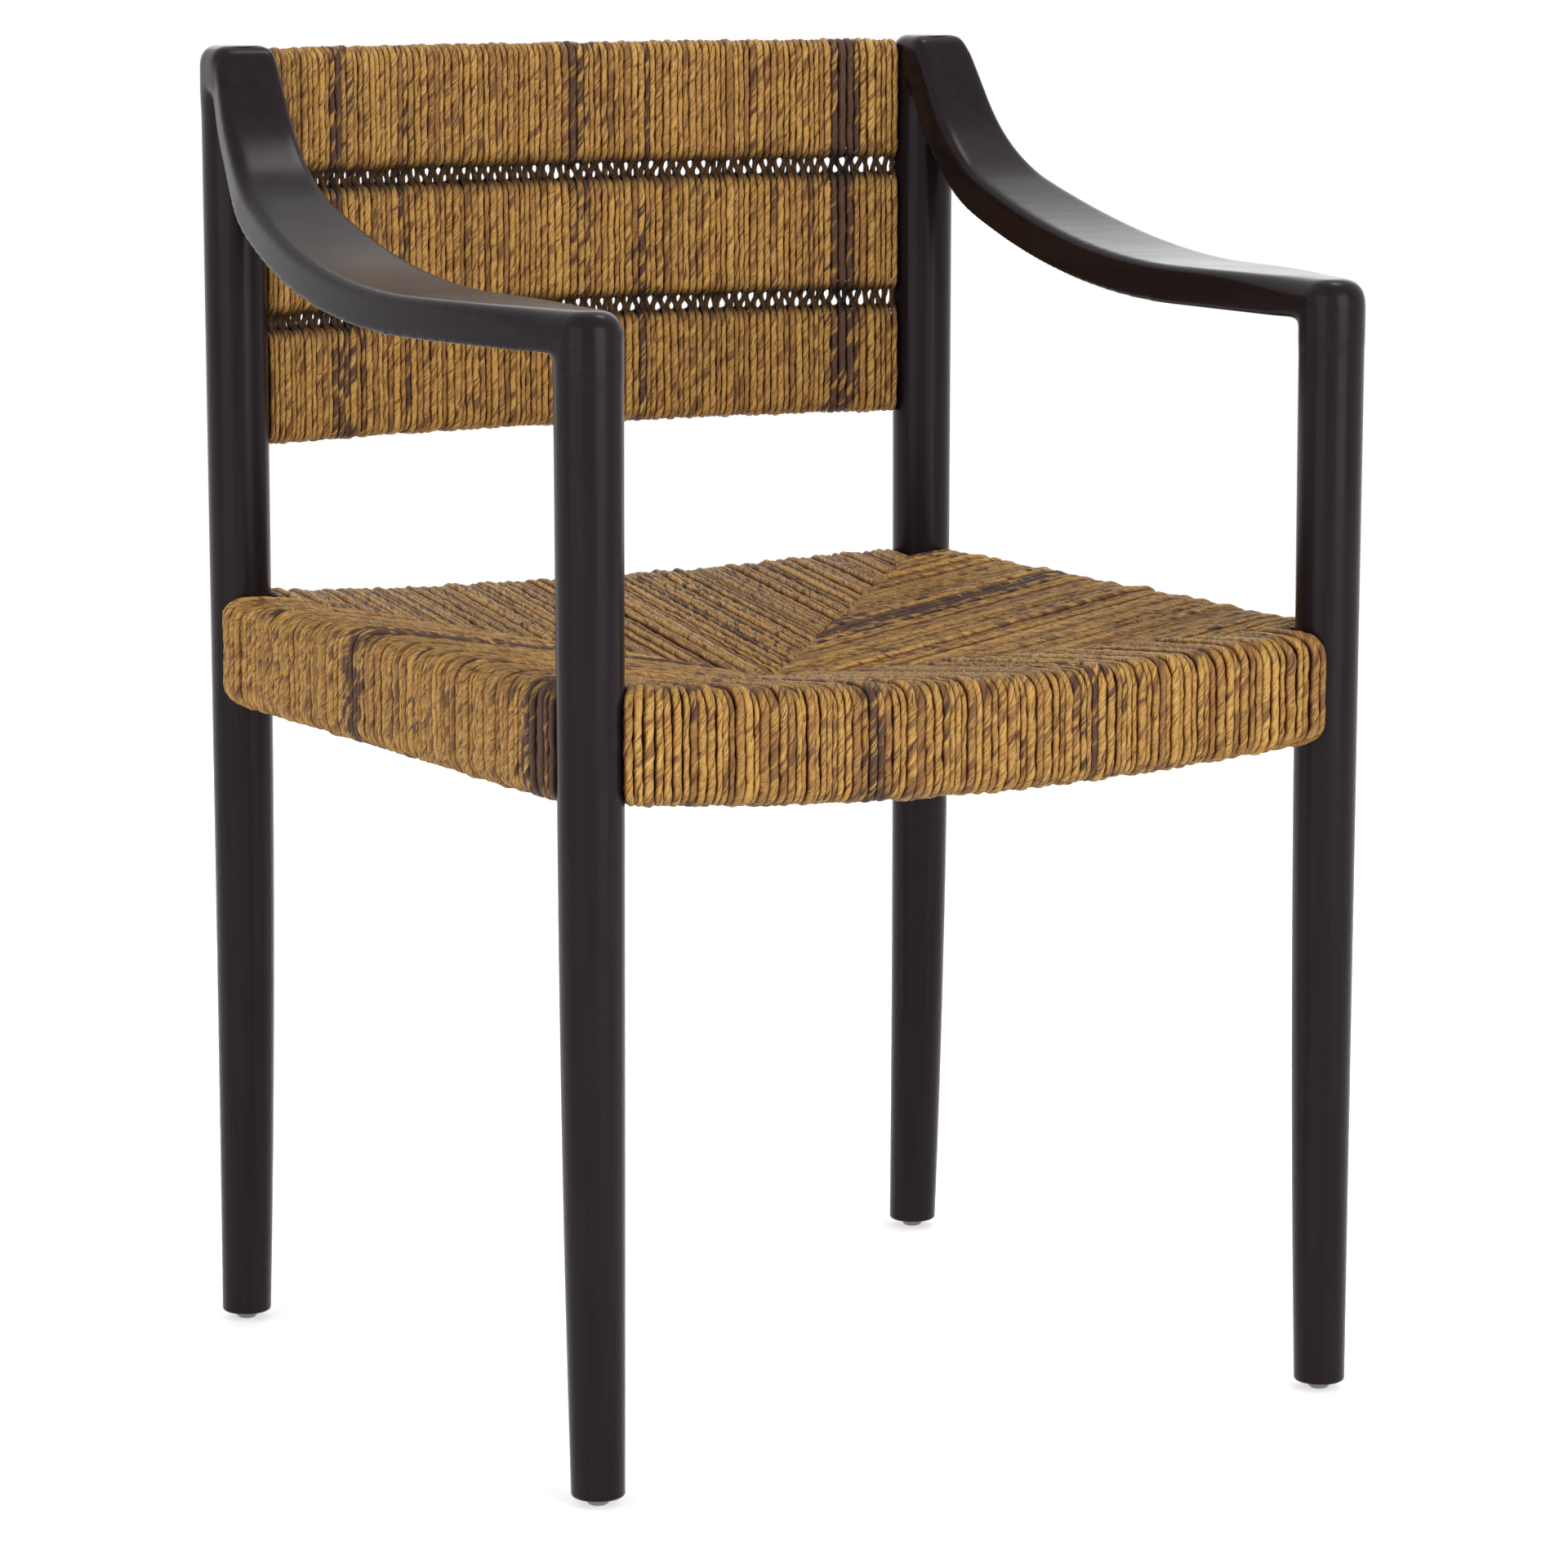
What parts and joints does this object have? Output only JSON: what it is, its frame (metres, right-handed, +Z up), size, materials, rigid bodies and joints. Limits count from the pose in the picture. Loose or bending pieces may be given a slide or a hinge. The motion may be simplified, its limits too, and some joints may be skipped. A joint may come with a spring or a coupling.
{
  "type": "dining armchair",
  "caption": "Dining armchair with round dark wood legs, arms that sweep up to the rear posts, a woven cord seat and a bowed cord-wrapped back.",
  "frame": {"origin": "on the floor, under the middle of the chair's box", "axes": "+Z up, the front of the seat faces -Y, +X is the sitter's left"},
  "size_m": [0.5942, 0.5366, 0.813],
  "materials": {
    "lacquered_wood": "satin black-brown lacquer on turned hardwood",
    "natural_cord": "twisted plant-fibre cord, golden tan with dark brown strands",
    "inner_wood": "bare wood, hidden under the cord or in joints",
    "packing": "loose plant-fibre packing inside the seat",
    "glide_plastic": "grey moulded plastic",
    "nail_steel": "bright steel nail"
  },
  "bodies": {
    "root": {"armrest_left": "lacquered_wood", "armrest_right": "lacquered_wood", "foot_glide_front_left": "glide_plastic", "foot_glide_front_right": "glide_plastic", "foot_glide_rear_left": "glide_plastic", "foot_glide_rear_right": "glide_plastic", "front_arm_dowels": "inner_wood", "front_leg_left": "lacquered_wood", "front_leg_right": "lacquered_wood", "front_rail_wrap": "natural_cord", "front_seat_rail": "inner_wood", "glide_nails": "nail_steel", "left_rail_wrap": "natural_cord", "left_seat_rail": "inner_wood", "lower_back_lacing": "natural_cord", "lower_back_slat": "inner_wood", "lower_back_wrap": "natural_cord", "middle_back_slat": "inner_wood", "middle_back_wrap": "natural_cord", "rear_arm_dowels": "inner_wood", "rear_post_left": "lacquered_wood", "rear_post_right": "lacquered_wood", "rear_rail_wrap": "natural_cord", "rear_seat_rail": "inner_wood", "right_rail_wrap": "natural_cord", "right_seat_rail": "inner_wood", "seat_packing_front": "packing", "seat_packing_left": "packing", "seat_packing_rear": "packing", "seat_packing_right": "packing", "seat_top_weave_front": "natural_cord", "seat_top_weave_left": "natural_cord", "seat_top_weave_rear": "natural_cord", "seat_top_weave_right": "natural_cord", "seat_under_weave_front": "natural_cord", "seat_under_weave_left": "natural_cord", "seat_under_weave_rear": "natural_cord", "seat_under_weave_right": "natural_cord", "upper_back_lacing": "natural_cord", "upper_back_slat": "inner_wood", "upper_back_wrap": "natural_cord"}
  },
  "joints": []
}
